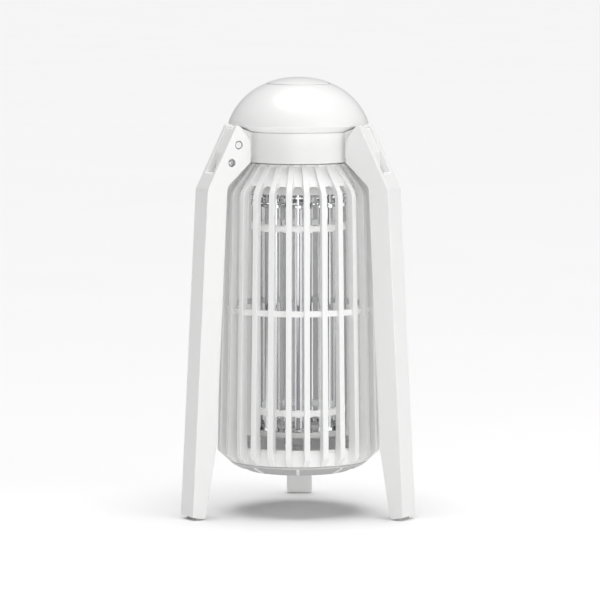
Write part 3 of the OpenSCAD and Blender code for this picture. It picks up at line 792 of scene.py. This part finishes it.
def lower_holder():
    """The ring under the rods and the hub round the lamp, joined by three spokes."""
    low, high = node_box("lower_grid_holder")
    ring = washer(25.2, 30.8, low.z, high.z, (0.5, 0.8, 0.8, 0.5), 168)
    hub = washer(7.6, 13, low.z, high.z, (0.3, 0.6, 0.6, 0.3), 96)
    spokes = copies(lambda: bevelled(block((12, -2, low.z), (26, 2, high.z)), 0.5), SCREW_AZ)
    return piece("grid_holder_bottom", merged([ring, hub, spokes]), HOLDER, "housing",
                 "white_insulator", "lower_grid_holder")


def grid():
    piece("rods_live", copies(rod, rod_angles(0, 2)), CHROME, "housing", "chrome", "live_rods")
    piece("rods_return", copies(rod, rod_angles(1, 2)), CHROME, "housing", "chrome", "return_rods")
    for node, name, phase in (("live_bus_ring", "bus_live", 0), ("return_bus_ring", "bus_return", 15)):
        low = node_box(node)[0].z
        piece(name, toothed_ring(low, 1.0, phase), CHROME, "housing", "chrome", node)
    for node, name in (("upper_rod_nuts", "nuts_top"), ("lower_rod_nuts", "nuts_bottom")):
        low, high = node_box(node)
        nuts = copies(lambda: hex_nut(low.z, high.z - low.z), rod_angles())
        piece(name, nuts, CHROME, "housing", "chrome", node)
    spacer_ring("upper_spacer_ring", "spacer_top")
    spacer_ring("lower_spacer_ring", "spacer_bottom")
    upper_holder()
    lower_holder()


def lamp():
    """The glass tube round its white core, a cap and a socket at each end, and the post below."""
    low, high = node_box("lamp_glass")
    tube = washer(high.x - 0.7, high.x, low.z, high.z, (0.2, 0.3, 0.3, 0.2), 96)
    piece("tube", tube, GLASS, "housing", "lamp_glass", "lamp_glass")
    low, high = node_box("lamp_core")
    core = bar(high.x, low.z, high.z, (0.3, 0.3), 48)
    piece("core", core, LAMP_WHITE, "housing", "lamp_white", "lamp_core")
    for node, name, up in (("lower_lamp_cap", "cap_bottom", 1), ("upper_lamp_cap", "cap_top", -1)):
        low, high = node_box(node)
        base, mouth = (low.z, high.z) if up > 0 else (high.z, low.z)
        r, bore = high.x, 6.4
        groove = r - 0.35
        points = [(0, base, 0), (r - 0.5, base, 0.5), (r, base + up * 1.2, 0.3),
                  (r, base + up * 2.6, 0.15), (groove, base + up * 2.9, 0.15),
                  (groove, base + up * 3.4, 0.15), (r, base + up * 3.7, 0.15),
                  (r, mouth - up * 0.5, 0.3), (bore, mouth, 0.1), (bore, base + up * 2, 0),
                  (0, base + up * 2, 0)]
        piece(name, spun(points, 72), CAP, "housing", "cap_metal", node)
    low, high = node_box("upper_lamp_socket")
    cup = spun([(0, low.z, 0), (7.5, low.z, 0.4), (high.x - 0.5, high.z - 0.8, 2),
                (high.x - 0.2, high.z, 0), (0, high.z, 0)], 72)
    piece("socket_top", cup, SOCKET, "housing", "chrome", "upper_lamp_socket")
    low, high = node_box("lower_lamp_socket")
    seat_r, seat_z = 7.6, node_box("lower_lamp_cap")[0].z
    cup = spun([(0, low.z, 0), (high.x, low.z, 0.8), (high.x, high.z, 0.4), (seat_r, high.z, 0.3),
                (seat_r, seat_z, 0), (0, seat_z, 0)], 72)
    piece("socket_bottom", cup, POST, "housing", "white_insulator", "lower_lamp_socket")
    low, high = node_box("centre_post")
    post = spun([(0, low.z, 0), (high.x - 0.8, low.z, 0.4), (high.x, low.z + 1.2, 0.4),
                 (high.x, high.z, 0), (0, high.z, 0)], 48)
    piece("post", post, POST, "housing", "white_insulator", "centre_post")


# ------------------------------------------------------------ tray
def tray():
    """The round dish under the cage, nine grips under its rim and a socket for the post."""
    wall_r, lip, floor_r, t = TRAY_WALL_R, TRAY_LIP_Z, TRAY_FLOOR_R, 1.8
    floor_top = TRAY_BOTTOM + t
    dish = spun([(0, TRAY_BOTTOM, 0), (floor_r, TRAY_BOTTOM, 2), (wall_r + 0.5, lip - 1.2, 0.4),
                 (TRAY_LIP_R, lip - 1, 0.35), (TRAY_LIP_R, lip, 0.35), (wall_r, lip, 0.2),
                 (wall_r, TRAY_TOP, 0.4), (wall_r - t, TRAY_TOP, 0.4), (wall_r - t, lip + 0.4, 2),
                 (floor_r, floor_top, 2), (0, floor_top, 0)], 216)
    grip = rounded([(floor_r, TRAY_BOTTOM + 0.5, 0), (floor_r + 3.2, TRAY_BOTTOM + 0.6, 0.6),
                    (wall_r, lip - 2.4, 0.6), (wall_r, lip - 1.2, 0),
                    (floor_r + 1, TRAY_BOTTOM + 1.4, 0)])
    grips = copies(lambda: bevelled(slab(grip, 2), 0.3), [i * 40 - 90 for i in range(9)])
    socket = washer(6.8, 8.2, floor_top - 0.4, floor_top + 3, (0, 0, 0.4, 0.4), 60)
    bm = merged([dish, grips, socket])
    return piece("tray", bm, TRAY, "tray", "tray_grey", "collection_tray")


# ------------------------------------------------------------ legs
def cross_bar(at, radius, first, last, edge=0.0):
    """A round bar across the radial plane, from y = first to y = last. Pin heads face +Y."""
    return moved(turned(bar(radius, first, last, (edge, edge), 56), -90, "X"), (at[0], 0, at[1]))


def leg():
    """The fork round its arm, the holes and recesses for pin and screw, and the pad's pocket."""
    side = LEG_T / 2
    end = -side + 1.2
    channel = BRACKET_T / 2 + 0.2
    outline = rounded([
        (39, 225.3, 0.7), (55.7, 210.3, 7), (63.9, 47, 30), (FOOT_R - 9.3, 0.2, 0.6),
        (FOOT_R, 2.2, 0.6), (70, 208.8, 8), (49.1, 249.1, 1.2), (45.9, 247.7, 0.8), (39, 239, 5)], 4)
    cut = block((30, -channel, PIVOT[1] - BRACKET_REACH - 0.8), (80, channel, 270))
    body = bevelled(carved(slab(outline, LEG_T), [bevelled(cut, 0.7, 3)]), 0.55, 3, 35)
    return carved(body, [
        cross_bar(PIVOT, 2.75, side - 3, side + 2), cross_bar(PIVOT, 1.55, end, side),
        cross_bar(SCREW_AT, 2.6, side - SCREW_SEAT, side + 2), cross_bar(SCREW_AT, 1.3, end, side),
        block((FOOT_R - PAD_IN, -side + 2, -2), (FOOT_R - PAD_OUT, side - 2, 3))])


def screw_head():
    """Pan head with a cross recess, and its shank, pointing to -Z with its seat at z = 0."""
    head = spun([(0, 0, 0), (2.3, 0, 0.2), (2.3, 0.8, 0.5), (1.4, 1.6, 1.2), (0, 1.65, 0)], 56)
    head = carved(head, [turned(block((-1.35, -0.3, 0.6), (1.35, 0.3, 3)), a) for a in (30, 120)])
    end = LEG_T - 3.4
    shank = spun([(0, -end, 0), (0.9, -end, 0.3), (1.2, 0.6 - end, 0), (1.2, 0.4, 0), (0, 0.4, 0)], 32)
    return merged([head, shank])


def pin():
    """A hinge pin with its wider head."""
    side = LEG_T / 2
    head = cross_bar(PIVOT, 2.1, side - 1.7, side - 0.3, 0.3)
    return merged([head, cross_bar(PIVOT, 1.5, -side + 1.4, side - 1, 0.3)])


def foot_pad():
    side, gap = LEG_T / 2 - 2, 0.05
    low, high = (FOOT_R - PAD_IN + gap, -side + gap, 0), (FOOT_R - PAD_OUT - gap, side - gap, 3)
    return bevelled(block(low, high), 0.3)


def legs():
    for name, azimuth in LEG_AZ.items():
        body = "leg_%s_body" % name
        piece("%s_leg" % name, turned(leg(), azimuth), WHITE, body, "white_gloss", "leg_" + name)
        screw = turned(screw_head(), -90, "X")
        screw = turned(moved(screw, (SCREW_AT[0], LEG_T / 2 - SCREW_SEAT, SCREW_AT[1])), azimuth)
        piece("%s_leg_screw" % name, screw, STEEL, body, "screw_steel", "leg_screw_" + name)
        pad = turned(foot_pad(), azimuth)
        piece("%s_foot_pad" % name, pad, RUBBER, body, "pad_rubber", "foot_pad_" + name)
    piece("hinge_pins", copies(pin, LEG_AZ.values()), PALE_PIN, "housing", "screw_steel", "leg_pins")


# ------------------------------------------------------------ pieces shown as the CAD made them
def finish_cad_nodes():
    looks = {
        "button_clip": STEEL, "circuit_board": BOARD, "power_switch": BLACK, "transformer": YELLOW,
        "capacitors": BLUE, "dome_screws": STEEL, "board_screws": STEEL, "cage_screws": STEEL,
        "holder_screws": STEEL, "live_lead": RED, "return_lead": BLACK, "lamp_lead": CLEAR}
    for name, material in looks.items():
        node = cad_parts[name]
        node.data.materials.clear()
        node.data.materials.append(material)


# ------------------------------------------------------------ camera, floor and light
def camera():
    azimuth, elevation, distance = math.radians(0.45), math.radians(5.8), 2.56
    data = bpy.data.cameras.new("camera")
    data.sensor_width = 36
    data.lens = 240.4
    data.clip_end = 50
    aim = Vector((0.00096, AXIS_Y, 0.13548))
    level = Vector((math.sin(azimuth), -math.cos(azimuth), 0))
    eye = aim + distance * (level * math.cos(elevation) + Vector((0, 0, math.sin(elevation))))
    item = bpy.data.objects.new("camera", data)
    item.location = eye
    item.rotation_euler = (aim - eye).to_track_quat("-Z", "Y").to_euler()
    bpy.context.scene.collection.objects.link(item)
    bpy.context.scene.camera = item


def floor():
    bpy.ops.mesh.primitive_plane_add(size=30, location=(0, 0, 0))
    plane = bpy.context.object
    plane.name = "floor"
    n = Nodes("pale_floor")
    n.link(n.mix(n.spread(n.noise(3, 2), 0.0, 1.0), (0.92, 0.92, 0.92), (0.93, 0.93, 0.93)),
           n.shader.inputs["Base Color"])
    n.set(Roughness=0.9, Specular_IOR_Level=0.2)
    plane.data.materials.append(n.material)


def softbox(name, azimuth, elevation, distance, size, power):
    """A square light that faces the middle of the object; azimuth 0 is the front, 90 the right."""
    data = bpy.data.lights.new(name, "AREA")
    data.shape = "RECTANGLE"
    data.size, data.size_y = size
    data.energy = power
    a, e = math.radians(azimuth), math.radians(elevation)
    aim = Vector((0, AXIS_Y, 0.15))
    place = aim + distance * Vector((math.sin(a) * math.cos(e), -math.cos(a) * math.cos(e), math.sin(e)))
    item = bpy.data.objects.new(name, data)
    item.location = place
    item.rotation_euler = (aim - place).to_track_quat("-Z", "Y").to_euler()
    bpy.context.scene.collection.objects.link(item)


def light():
    world = bpy.data.worlds.new("studio")
    world.use_nodes = True
    background = world.node_tree.nodes["Background"]
    background.inputs["Color"].default_value = (1, 1, 1, 1)
    background.inputs["Strength"].default_value = 0.15
    bpy.context.scene.world = world
    overhead = bpy.data.lights.new("overhead", "SUN")
    overhead.energy = 2.75
    overhead.angle = math.radians(50)
    item = bpy.data.objects.new("overhead", overhead)
    bpy.context.scene.collection.objects.link(item)
    softbox("key", 48, 14, 1.5, (1.1, 1.4), 6)
    softbox("front", 4, 4, 1.6, (1.0, 1.0), 5.5)
    bpy.context.scene.view_settings.view_transform = "Standard"


dome_cover()
top_button()
button_coil()
head_collar()
inlet()
cage()
grid()
lamp()
tray()
legs()
finish_cad_nodes()
floor()
light()
camera()
